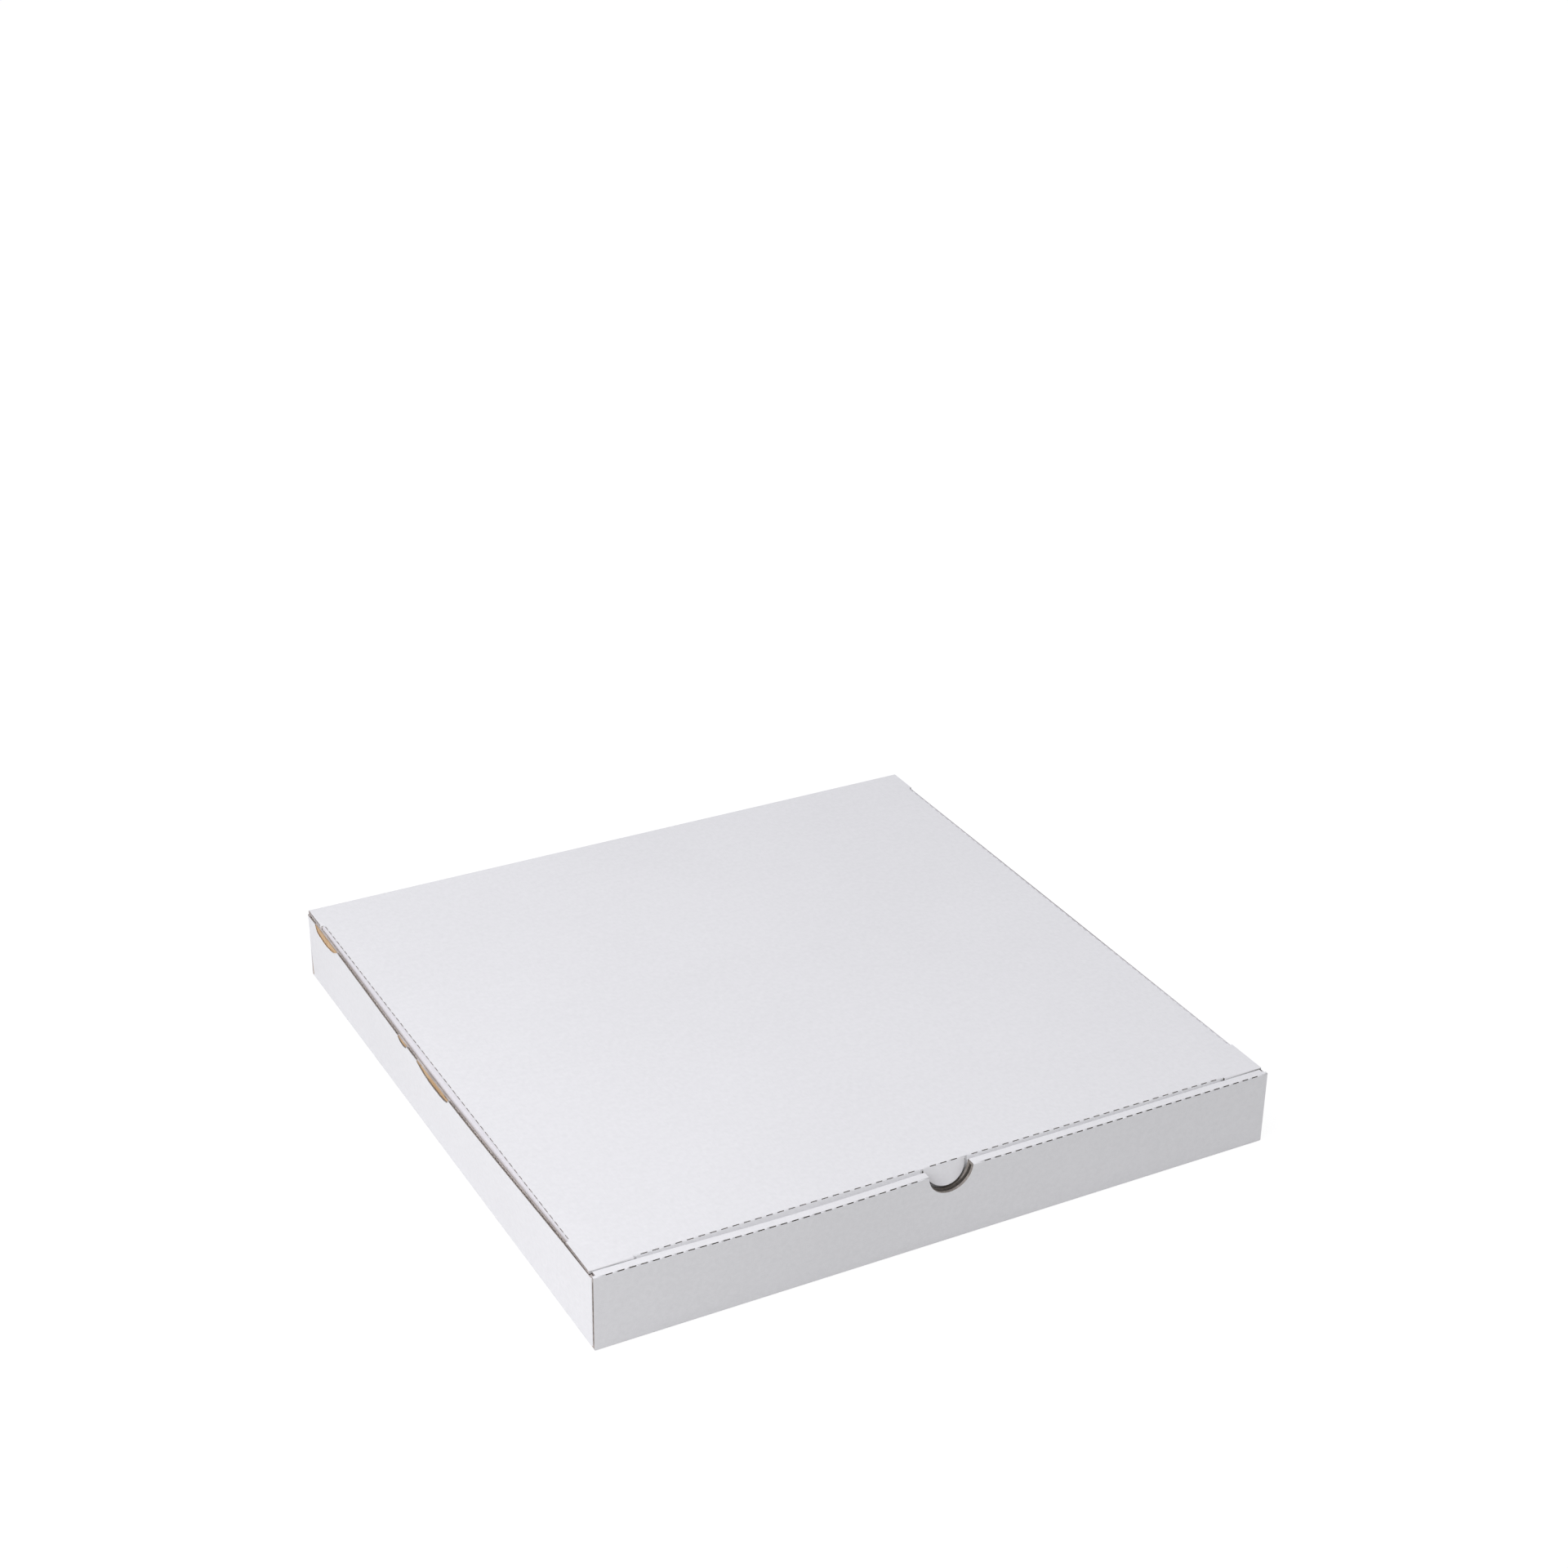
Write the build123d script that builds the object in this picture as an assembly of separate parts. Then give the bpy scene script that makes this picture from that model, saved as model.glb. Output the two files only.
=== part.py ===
from build123d import *
import math
import os

# Driving sizes of the closed box, in millimetres
box_width = 360.0            # across the base, left to right
box_depth = 360.0            # across the base, front to back
box_height = 40.0            # from the table to the top of the lid
board = 1.5                  # thickness of the fluted board
fold_radius = 1.2            # outer rounding of a full fold
fold_limit_share = 0.9       # most of the board's thickness that a rounding takes
crease_radius = 0.5          # outer rounding of a perforated crease
layer_gap = 0.15             # room between two layers of board that lie together
cut_overrun = 5.0            # how far a cutting shape runs past what it cuts

# Side walls: straight at the base, their raw top edges bowed outwards, the left one more than the right
side_wall_drop = 1.6         # top edge below the lid's top face, just under the lid panel
side_bows = {                # at the two ends, then the swell between them and its lean forwards
    "left": {"front": 0.15, "back": 1.2, "swell": 2.15, "forwards": 0.7},
    "right": {"front": 0.4, "back": 0.5, "swell": 0.25, "forwards": 0.0},
}
bow_spans = 12               # stretches of a bowed edge between its points

# Corner flaps on both ends of each side wall
corner_flap_length = 62.0
corner_flap_drop = 1.5       # below the side wall's top edge
corner_flap_taper = 9.0      # slope of the free end

# Front wall, rolled over double
front_wall_drop = 0.4        # top strip below the lid's top face
front_bow = 0.8              # its top leans out in the middle
front_bulge = 1.6            # and more on the left of the notch
front_bulge_place_share = -0.42    # middle and half length of that bulge, as shares of half the width
front_bulge_reach_share = 0.45
lock_tab_width = 46.0
lock_tab_spacing = 190.0
lock_tab_lift = 0.3          # the tabs end this far above the table
lock_slot_gap = 0.25         # room round a tab in its slot

# Lid
lid_side_inset = 0.2         # lid panel's corners inside the base's outline on each side
lid_corner_room = 0.25       # between the lid panel's front corners and the front wall's top strip
hinge_gap = 0.1              # between the back wall's top and the lid panel
tuck_flap_depth = 24.0       # below the lid's top face
tuck_flap_inset = 22.0       # flap's ends from the box's sides
tuck_flap_taper = 7.0
tuck_flap_corner = 8.0
tuck_swing_room = 0.5        # clearance of the flap's edge while the lid swings
side_flap_depth = 22.0
side_flap_front_inset = 28.0
side_flap_back_inset = 19.0
side_flap_taper = 10.0
side_fold_inset = 1.6        # side folds inside the base's outline
side_flap_room = 0.4         # between a side flap and the wall that it is tucked behind
side_crease_step = 0.04      # the crease pressed in along a side fold
side_shoulder_drop_share = 0.3     # shoulder of a side fold, as shares of the fold's drop and reach
side_shoulder_reach_share = 0.62

# Thumb tab in the tuck flap, and the notch that it shows through
tab_radius = 11.2
tab_tilt = 21.0              # degrees, forwards from hanging straight down
tab_kerf = 0.5               # width of the die cut round the tab
notch_room = 0.7             # notch radius beyond the tab's

# Perforated creases: rows of short slits half-way through the board
slit_length = 3.3
slit_width = 0.45
slit_depth = 0.8
slit_pitch = 5.65
front_slit_margin = 5.0      # row's ends from the front wall's ends
lid_slit_margin = 2.0        # row's ends from a lid flap's ends
side_slit_inset = 0.4        # lid's side rows inside their folds

# Places where the white outer liner has torn off the left wall's top edge:
# middle and half length along the wall, as shares of the box's depth, and depth down the wall
torn_places = {
    "back": {"middle_share": 0.416, "half_share": 0.044, "depth": 4.6},
    "small": {"middle_share": 0.106, "half_share": 0.0145, "depth": 2.0},
    "centre": {"middle_share": -0.004, "half_share": 0.053, "depth": 3.3},
}
torn_thickness = 0.45        # board lost where the liner is gone

# Places worked out from the sizes above
half_width = box_width / 2
half_depth = box_depth / 2
side_wall_top = box_height - side_wall_drop
front_wall_top = box_height - front_wall_drop
lid_underside = box_height - board
back_wall_top = lid_underside - hinge_gap
roll_gap = board + 2 * layer_gap
roll_thickness = 2 * board + roll_gap
wall_front_end = -half_depth + board + layer_gap
wall_back_end = half_depth - board - layer_gap
front_reach = box_depth - roll_thickness
tuck_swing = tuck_flap_depth ** 2 / (2 * front_reach)
tuck_face = -half_depth + roll_thickness + tuck_swing_room + tuck_swing
lid_corner_front = -half_depth + roll_thickness + lid_corner_room
side_fold = half_width - side_fold_inset
side_flap_front = -half_depth + side_flap_front_inset
side_flap_back = half_depth - side_flap_back_inset
notch_radius = tab_radius + notch_room
fold_rounding = min(fold_radius, fold_limit_share * board)


def side_bow(y, bow):
    """How far a side wall's top edge leans out at y: a line between its ends, and a swell."""
    place_share = y / half_depth
    line = (bow["front"] + bow["back"]) / 2 + (bow["back"] - bow["front"]) / 2 * place_share
    return line + (bow["swell"] - bow["forwards"] * place_share) * (1 - place_share ** 2) ** 2


def wall_face(y, z, bow):
    """Distance of a side wall's outer face from the middle plane."""
    return half_width + side_bow(y, bow) * (z - board) / (side_wall_top - board)


def bow_places(start, end):
    """Evenly spaced places for the points of a bowed edge."""
    return [start + (end - start) * index / bow_spans for index in range(bow_spans + 1)]


def side_strip(z, start, end, outer, inner):
    """Level strip along the right-hand side, between two edges whose distances from the middle follow y."""
    places = bow_places(start, end)
    return bowed_face([Vector(outer(y), y, z) for y in places], [Vector(inner(y), y, z) for y in places])


def side_layer(thickness, bow):
    """Upright layer of a side wall, from straight along the base to bowed along the top."""
    def layer_strip(z):
        return side_strip(
            z, wall_front_end, wall_back_end,
            lambda y: wall_face(y, z, bow), lambda y: wall_face(y, z, bow) - thickness,
        )
    return loft([layer_strip(board), layer_strip(side_wall_top)], ruled=True)


def front_lean(x):
    """How far the front wall's top leans out at x: an even bow, and a bulge on the left of the notch."""
    place_share = x / half_width
    bulge_share = min(abs(place_share - front_bulge_place_share) / front_bulge_reach_share, 1)
    return front_bow * (1 - place_share ** 2) + front_bulge * (1 - bulge_share ** 2) ** 2


def front_strip(z, lean_share, depth_from_front, thickness):
    """Bowed strip at height z across the front, a depth behind the front wall's outer face."""
    outer_y = -half_depth + depth_from_front
    outer = [Vector(x, outer_y - lean_share * front_lean(x), z) for x in bow_places(-half_width, half_width)]
    inner = [point + Vector(0, thickness, 0) for point in outer]
    return bowed_face(outer, inner)


def bowed_face(outer, inner):
    """Face between two bowed edges that run the same way."""
    sides = [bowed_edge(outer), Line(outer[-1], inner[-1]), bowed_edge(inner[::-1]), Line(inner[0], outer[0])]
    return make_face(sides)


def bowed_edge(points):
    """Edge through points: a line where all are in line, otherwise a spline."""
    first, last = points[0], points[-1]
    if max((point - first).cross(last - first).length for point in points) == 0:
        return Line(first, last)
    return Spline(*points)


def block(low_x, high_x, low_y, high_y, low_z, high_z):
    """Plain block of board between two corners."""
    size = Box(high_x - low_x, high_y - low_y, high_z - low_z)
    return Pos((low_x + high_x) / 2, (low_y + high_y) / 2, (low_z + high_z) / 2) * size


def both_sides(right_hand):
    return right_hand + mirror(right_hand, Plane.YZ)


def make_base():
    """Base panel with rounded folds along its four edges and two slots for the lock tabs."""
    panel = block(-half_width, half_width, -half_depth, half_depth, 0, board)
    panel = fillet(panel.faces().sort_by(Axis.Z)[0].edges(), fold_rounding)
    for centre in (-lock_tab_spacing / 2, lock_tab_spacing / 2):
        panel -= lock_tab(centre, lock_slot_gap, -cut_overrun, board + cut_overrun)
    return panel


def lock_tab(centre, room, low_z, high_z):
    """Block of a lock tab, or of its slot when room is added all round."""
    half = lock_tab_width / 2 + room
    back = -half_depth + roll_thickness
    return block(centre - half, centre + half, back - board - room, back + room, low_z, high_z)


def make_side_wall(bow):
    """Side wall with its two corner flaps, as on the right-hand side."""
    wall = side_layer(board, bow)
    upright = [edge for edge in wall.edges() if abs(edge.center().Z - (board + side_wall_top) / 2) < board]
    outer_upright = ShapeList(upright).sort_by(Axis.X)[-2:]
    wall = fillet(outer_upright, fold_rounding)
    for outer_y, into in ((wall_front_end, 1), (wall_back_end, -1)):
        wall += corner_flap(outer_y, into)
    return wall


def corner_flap(outer_y, into):
    """Flap folded in from a side wall's end, its free end sloped to slip into place."""
    root = half_width - board / 2
    tip = half_width - corner_flap_length
    low = board + layer_gap
    high = side_wall_top - corner_flap_drop
    outline = Polyline(
        (root, outer_y, low),
        (tip + corner_flap_taper, outer_y, low),
        (tip, outer_y, low + corner_flap_taper),
        (tip, outer_y, high - corner_flap_taper),
        (tip + corner_flap_taper, outer_y, high),
        (root, outer_y, high),
        close=True,
    )
    return extrude(make_face(outline), amount=board, dir=(0, into, 0))


def make_back_wall():
    return block(-half_width, half_width, half_depth - board, half_depth, board, back_wall_top)


def front_layer(depth_from_front, thickness, top):
    """One bowed upright layer of the front wall, from the base up to a height."""
    lean_share = (top - board) / (front_wall_top - board)
    return loft(
        [
            front_strip(board, 0, depth_from_front, thickness),
            front_strip(top, lean_share, depth_from_front, thickness),
        ],
        ruled=True,
    )


def make_front_wall():
    """Outer panel, top strip and inner panel in one roll, with lock tabs and the thumb notch."""
    wall = front_layer(0, roll_thickness, front_wall_top)
    wall -= front_layer(board, roll_gap, front_wall_top - board)
    behind_outer = front_layer(board, roll_thickness, front_wall_top)
    inner_half = half_width - board - layer_gap
    end_space = block(
        inner_half, half_width + cut_overrun, -box_depth, 0, board - cut_overrun, box_height + cut_overrun
    )
    wall -= behind_outer & both_sides(end_space)
    wall -= block(
        -half_width, half_width,
        -half_depth + board + roll_gap / 2, -half_depth + roll_thickness + cut_overrun,
        board - cut_overrun, board + layer_gap,
    )
    top_edges = [
        edge for edge in wall.edges()
        if edge.length > box_width / 2 and abs(edge.center().Z - front_wall_top) < layer_gap
    ]
    wall = fillet(ShapeList(top_edges), crease_radius)
    for centre in (-lock_tab_spacing / 2, lock_tab_spacing / 2):
        wall += lock_tab(centre, 0, lock_tab_lift, 2 * board)
    notch = Pos(0, -half_depth, front_wall_top) * Rot(90, 0, 0) * Cylinder(notch_radius, 4 * roll_thickness)
    return wall - notch


def torn_patches():
    """Shallow hollows where the outer liner is gone, flat arches along the left wall's top edge."""
    skin = mirror(side_layer(torn_thickness, side_bows["left"]), Plane.YZ)
    patches = Part()
    for place in torn_places.values():
        middle = place["middle_share"] * box_depth
        half = place["half_share"] * box_depth
        left = Vector(-box_width, middle - half, side_wall_top + cut_overrun)
        right = Vector(-box_width, middle + half, side_wall_top + cut_overrun)
        drop = Vector(0, 0, cut_overrun)
        lowest = Vector(-box_width, middle, side_wall_top - place["depth"])
        outline = [
            Line(left, left - drop),
            ThreePointArc(left - drop, lowest, right - drop),
            Line(right - drop, right),
            Line(right, left),
        ]
        patches += skin & extrude(make_face(outline), amount=box_width, dir=(1, 0, 0))
    return patches


def slit_places(start, end):
    """Middles of the slits of one row, centred between its ends."""
    count = int((end - start - slit_length) // slit_pitch) + 1
    first = (start + end - (count - 1) * slit_pitch) / 2
    return [first + index * slit_pitch for index in range(count)]


crease_inwards = crease_radius * (1 - math.sqrt(0.5))    # from a crease's corner to its rounding


def front_fold_slit(x, corner_y, corner_z):
    """Slit along X into a crease that faces forwards and up, half-way between the two."""
    slit = Box(slit_length, slit_width, 2 * slit_depth)
    return Pos(x, corner_y + crease_inwards, corner_z - crease_inwards) * Rot(45, 0, 0) * slit


def side_fold_slit(side, y):
    """Slit along Y into the lid's top, just inside a side fold; side is -1 or 1."""
    slit = Box(slit_width, slit_length, 2 * slit_depth)
    return Pos(side * (side_fold - side_slit_inset), y, box_height) * slit


def front_slits():
    """Row along the front wall's outer top crease, broken at the thumb notch."""
    slits = []
    for x in slit_places(-half_width + front_slit_margin, half_width - front_slit_margin):
        if abs(x) > notch_radius + slit_length:
            slits.append(front_fold_slit(x, -half_depth - front_lean(x), front_wall_top))
    return slits


def make_tray():
    """Everything that stands still while the lid opens."""
    tray = make_base() + make_side_wall(side_bows["right"])
    tray += mirror(make_side_wall(side_bows["left"]), Plane.YZ)
    tray += make_back_wall()
    tray += make_front_wall()
    tray -= torn_patches()
    return tray - front_slits()


def make_side_flap(bow):
    """Lid flap on the right-hand side: bent down over a straight fold, it follows its wall."""
    low = box_height - side_flap_depth
    fold_drop = box_height - side_wall_top

    def flap_face(y, z):
        return wall_face(y, z, bow) - board - side_flap_room

    def shoulder(y):
        return side_fold + side_shoulder_reach_share * (flap_face(y, side_wall_top) - side_fold)

    def flap_strip(z):
        return side_strip(
            z, side_flap_front, side_flap_back, lambda y: flap_face(y, z), lambda y: flap_face(y, z) - board
        )

    def fold_strip(z, outer):
        return side_strip(z, side_flap_front, side_flap_back, outer, lambda y: side_fold - board)

    strip = loft(
        [
            fold_strip(box_height - side_crease_step, lambda y: side_fold + side_crease_step),
            fold_strip(box_height - side_shoulder_drop_share * fold_drop, shoulder),
            flap_strip(side_wall_top),
            flap_strip(low),
        ],
        ruled=True,
    )
    ends = Polyline(
        (0, side_flap_front - cut_overrun, box_height + cut_overrun),
        (0, side_flap_back + cut_overrun, box_height + cut_overrun),
        (0, side_flap_back + cut_overrun, lid_underside),
        (0, side_flap_back, lid_underside),
        (0, side_flap_back - side_flap_taper, low - cut_overrun),
        (0, side_flap_front + side_flap_taper, low - cut_overrun),
        (0, side_flap_front, lid_underside),
        (0, side_flap_front - cut_overrun, lid_underside),
        close=True,
    )
    return strip & extrude(make_face(ends), amount=box_width, dir=(1, 0, 0))


def make_lid_panel():
    """Lid panel, narrowed along its sides where the side flaps fold away, with square front corners."""
    lid_half = half_width - lid_side_inset
    panel = block(-lid_half, lid_half, tuck_face, half_depth, lid_underside, box_height)
    flap_space = block(
        side_fold, half_width + cut_overrun, side_flap_front + board / 2, side_flap_back - board / 2,
        lid_underside - cut_overrun, box_height + cut_overrun,
    )
    panel -= both_sides(flap_space)
    top_edges = panel.edges().group_by(Axis.Z)[-1].sort_by(Axis.Y)
    panel = fillet(top_edges[-1], fold_rounding)
    top_edges = panel.edges().group_by(Axis.Z)[-1].sort_by(Axis.Y)
    panel = fillet(top_edges[0], crease_radius)
    flap_end = half_width - tuck_flap_inset
    front_corner = block(
        flap_end, lid_half, lid_corner_front, tuck_face + 2 * board, lid_underside, box_height
    )
    return panel + both_sides(front_corner)


def half_disc(radius, root_drop):
    """Half-round face in the plane of the lid's front fold, cut straight a drop below the lid's top face."""
    half_chord = math.sqrt(radius ** 2 - root_drop ** 2)
    left = Vector(-half_chord, tuck_face, box_height - root_drop)
    right = Vector(half_chord, tuck_face, box_height - root_drop)
    lowest = Vector(0, tuck_face, box_height - radius)
    return make_face([ThreePointArc(left, lowest, right), Line(right, left)])


def make_tuck_flap():
    """Flap that goes down behind the front wall, with the hole that the thumb tab leaves."""
    root = half_width - tuck_flap_inset
    tip = root - tuck_flap_taper
    top = lid_underside
    low = box_height - tuck_flap_depth
    outline = make_face(
        Polyline(
            (-root, tuck_face, top), (-tip, tuck_face, low), (tip, tuck_face, low), (root, tuck_face, top),
            close=True,
        )
    )
    outline = fillet(outline.vertices().sort_by(Axis.Z)[:2], tuck_flap_corner)
    flap = extrude(outline, amount=board, dir=(0, 1, 0))
    hole = extrude(half_disc(tab_radius + tab_kerf, 0), amount=board + cut_overrun, dir=(0, 1, 0))
    return flap - hole


def make_thumb_tab():
    """Half-round tab bent less far down than the tuck flap it was cut from, about the same fold."""
    tab = extrude(half_disc(tab_radius, crease_radius), amount=board, dir=(0, 1, 0))
    fold_centre = (0, tuck_face + crease_radius, box_height - crease_radius)
    return tab.rotate(Axis(fold_centre, (1, 0, 0)), -tab_tilt)


def lid_slits():
    """Rows along the lid's front fold, clear of the tab's cut ends, and along both side folds."""
    slits = []
    row_end = half_width - tuck_flap_inset - lid_slit_margin
    for x in slit_places(-row_end, row_end):
        if abs(abs(x) - tab_radius) > slit_length:
            slits.append(front_fold_slit(x, tuck_face, box_height))
    for y in slit_places(side_flap_front + lid_slit_margin, side_flap_back - lid_slit_margin):
        slits += [side_fold_slit(side, y) for side in (-1, 1)]
    return slits


def make_lid():
    """Everything that swings about the fold along the back."""
    lid = make_lid_panel() + make_side_flap(side_bows["right"])
    lid += mirror(make_side_flap(side_bows["left"]), Plane.YZ)
    lid += make_tuck_flap()
    lid += make_thumb_tab()
    return lid - lid_slits()


os.makedirs("parts", exist_ok=True)
export_step(make_tray(), "parts/tray.step")
export_step(make_lid(), "parts/lid.step")
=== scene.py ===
import math

import bmesh
import bpy
import numpy as np
from mathutils import Matrix, Vector, noise
from mathutils.bvhtree import BVHTree


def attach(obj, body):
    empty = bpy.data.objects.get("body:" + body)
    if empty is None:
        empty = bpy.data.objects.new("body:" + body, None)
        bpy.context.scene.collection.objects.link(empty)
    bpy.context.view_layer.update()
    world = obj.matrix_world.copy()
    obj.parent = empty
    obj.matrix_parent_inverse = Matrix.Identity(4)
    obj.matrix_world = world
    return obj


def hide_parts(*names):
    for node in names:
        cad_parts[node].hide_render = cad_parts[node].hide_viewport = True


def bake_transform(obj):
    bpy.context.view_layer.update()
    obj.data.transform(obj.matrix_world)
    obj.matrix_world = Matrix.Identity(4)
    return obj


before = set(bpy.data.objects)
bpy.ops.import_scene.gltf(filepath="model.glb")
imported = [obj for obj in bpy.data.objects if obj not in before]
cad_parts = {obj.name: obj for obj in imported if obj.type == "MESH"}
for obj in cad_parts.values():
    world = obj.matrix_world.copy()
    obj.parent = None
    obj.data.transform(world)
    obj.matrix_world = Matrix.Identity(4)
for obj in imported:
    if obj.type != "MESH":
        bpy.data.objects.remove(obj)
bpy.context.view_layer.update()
scene = bpy.context.scene
mm = 0.001
half = 180.0 * mm            # of the box's width and depth
boxHeight = 40.0 * mm
print("frame loaded:", sorted(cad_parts))


class Wire:
    # one socket of a shader tree: sums on it add Math nodes
    def __init__(self, tree, socket=None):
        self.tree = tree
        self.socket = socket

    def node(self, kind, settings=None, inputs=None, output=0):
        made = self.tree.nodes.new(kind)
        for name, value in (settings or {}).items():
            if name == "stops":
                setStops(made.color_ramp.elements, value)
            else:
                setattr(made, name, value)
        for name, value in (inputs or {}).items():
            if isinstance(value, Wire):
                self.tree.links.new(value.socket, made.inputs[name])
            else:
                made.inputs[name].default_value = value
        return Wire(self.tree, made.outputs[output] if made.outputs else None)

    def out(self, name):  # another output of the same node
        return Wire(self.tree, self.socket.node.outputs[name])

    def math(self, operation, first, second=0.0):
        return self.node("ShaderNodeMath", {"operation": operation}, {0: first, 1: second})

    def __add__(self, other):
        return self.math("ADD", self, other)

    def __sub__(self, other):
        return self.math("SUBTRACT", self, other)

    def __rsub__(self, other):
        return self.math("SUBTRACT", other, self)

    def __mul__(self, other):
        return self.math("MULTIPLY", self, other)

    __radd__ = __add__
    __rmul__ = __mul__

    def step(self, low, high):  # 0 below low, 1 above high, smooth between
        settings = {"interpolation_type": "SMOOTHSTEP"}
        return self.node("ShaderNodeMapRange", settings, {"Value": self, "From Min": low, "From Max": high})

    def mix(self, first, second):  # two colours, with this value as the share of the second
        return self.node("ShaderNodeMix", {"data_type": "RGBA"}, {0: self, 6: first, 7: second}, 2)

    def scaled(self, scale):  # a vector, stretched
        return self.node("ShaderNodeVectorMath", {"operation": "MULTIPLY"}, {0: self, 1: scale})

    def cloud(self, scale, detail, roughness):  # noise at this vector
        inputs = {"Vector": self, "Scale": scale, "Detail": detail, "Roughness": roughness}
        return self.node("ShaderNodeTexNoise", None, inputs)

    def grain(self, scales, detail, roughness):  # noise drawn out along the axes
        return self.scaled(scales).cloud(1.0, detail, roughness)


def setStops(elements, stops):
    elements[0].position, elements[0].color = stops[0]
    elements[1].position, elements[1].color = stops[-1]
    for place, colour in stops[1:-1]:
        elements.new(place).color = colour


def newFinish(name):
    finish = bpy.data.materials.new(name)
    finish.use_nodes = True
    finish.node_tree.nodes.clear()
    return finish, Wire(finish.node_tree)


def paper(wire, look, colour, roughness, height):
    bump = wire.node("ShaderNodeBump", None, {"Strength": 1.0, "Distance": look["relief"], "Height": height})
    inputs = {
        "Base Color": colour,
        "Roughness": roughness,
        "Normal": bump,
        "Specular IOR Level": look["specular"],
    }
    shader = wire.node("ShaderNodeBsdfPrincipled", None, inputs)
    wire.node("ShaderNodeOutputMaterial", None, {"Surface": shader})


flutes = {
    "pitch": 3.2 * mm,           # wave length of the fluting between the two liners
    "liner": 0.25 * mm,
    "paper": 0.16 * mm,
    "grooveDepth": 2.4 * mm,
    "grooveOver": 1.0 * mm,      # cutter above the edge
    "recess": 0.12 * mm,         # fluting below the cut edge
    "stepsPerWave": 12,
    "sharpDegrees": 40.0,
    "upright": (0.5, 0.7),       # faces turned this far to front or back have their waves counted upwards
}


def fluteWaves(wire, place):  # -1 to 1 across the flutes, which run left to right
    spot = wire.node("ShaderNodeSeparateXYZ", None, {0: place})
    facing = wire.node("ShaderNodeTexCoord", output="Normal")
    facing = wire.node("ShaderNodeSeparateXYZ", None, {0: facing}).out("Y")
    upright = wire.math("ABSOLUTE", facing).step(*flutes["upright"])
    across = spot.out("Y") * (1.0 - upright) + spot.out("Z") * upright
    return wire.math("SINE", across * (2.0 * math.pi / flutes["pitch"]))


whiteLook = {
    "bright": (0.86, 0.86, 0.865, 1.0),
    "dull": (0.80, 0.80, 0.805, 1.0),
    "contrast": (0.3, 0.7),
    "roughness": 0.42,
    "roughens": 0.16,            # what the mottle adds
    "specular": 0.32,
    "relief": 0.02 * mm,
    "broad": (14.0, 2.0, 0.5),   # noise: scale, detail, roughness
    "mottle": (420.0, 4.0, 0.6),
    "fibre": ((1500.0, 190.0, 1500.0), 3.0, 0.6),
    "tones": {"broad": 0.2, "mottle": 0.5, "fibre": 0.3},
    "heights": {"waves": 0.22, "fibre": 0.5, "mottle": 0.45},
}
# painted shade: a darker white for the lid's side folds, whose faces turned up to the lamps would show
# brighter than the lid
shadedFoldLook = dict(whiteLook, bright=(0.74, 0.725, 0.745, 1.0), dull=(0.69, 0.675, 0.695, 1.0))


def whiteLiner(name, look):  # smooth coated white paper with a faint washboard from the flutes under it
    finish, wire = newFinish(name)
    place = wire.node("ShaderNodeTexCoord", output="Object")
    broad = place.cloud(*look["broad"])
    mottle = place.cloud(*look["mottle"])
    fibre = place.grain(*look["fibre"])
    tones, heights = look["tones"], look["heights"]
    shade = broad * tones["broad"] + mottle * tones["mottle"] + fibre * tones["fibre"]
    colour = shade.step(*look["contrast"]).mix(look["dull"], look["bright"])
    roughness = mottle * look["roughens"] + look["roughness"]
    waves = fluteWaves(wire, place)
    height = waves * heights["waves"] + fibre * heights["fibre"] + mottle * heights["mottle"]
    paper(wire, look, colour, roughness, height)
    return finish


kraftLook = {
    "dark": (0.37, 0.235, 0.125, 1.0),
    "mid": (0.50, 0.33, 0.185, 1.0),
    "light": (0.60, 0.42, 0.255, 1.0),
    "fleck": (0.22, 0.135, 0.07, 1.0),
    "roughness": 0.70,
    "roughens": 0.15,
    "specular": 0.2,
    "relief": 0.05 * mm,
    "heights": {"waves": 0.45, "fibre": 0.8},
}
kraftGrain = {                   # of every brown finish
    "fibre": ((700.0, 120.0, 700.0), 5.0, 0.65),
    "broad": (22.0, 3.0, 0.5),
    "flecks": ((900.0, 420.0, 900.0), 2.0, 0.5),
    "fleckRange": (0.66, 0.74),
    "fleckShare": 0.55,
    "tones": {"fibre": 0.7, "broad": 0.3},
    "stops": {"dark": 0.3, "mid": 0.5, "light": 0.7},
}


def kraftColour(wire, place, look):  # brown paper: long pale fibres, a few dark flecks
    fibre = place.grain(*kraftGrain["fibre"])
    broad = place.cloud(*kraftGrain["broad"])
    flecks = place.grain(*kraftGrain["flecks"]).step(*kraftGrain["fleckRange"])
    tone = fibre * kraftGrain["tones"]["fibre"] + broad * kraftGrain["tones"]["broad"]
    stops = [(spot, look[name]) for name, spot in kraftGrain["stops"].items()]
    ramp = wire.node("ShaderNodeValToRGB", {"stops": stops}, {"Fac": tone})
    return (flecks * kraftGrain["fleckShare"]).mix(ramp, look["fleck"]), fibre


def kraftLiner():
    finish, wire = newFinish("kraftLiner")
    place = wire.node("ShaderNodeTexCoord", output="Object")
    colour, fibre = kraftColour(wire, place, kraftLook)
    height = fluteWaves(wire, place) * kraftLook["heights"]["waves"] + fibre * kraftLook["heights"]["fibre"]
    paper(wire, kraftLook, colour, fibre * kraftLook["roughens"] + kraftLook["roughness"], height)
    return finish


# partly painted shade: the cut edge's grey-brown stands in for shade inside the flutes as well as the fibres'
# own colour
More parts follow.
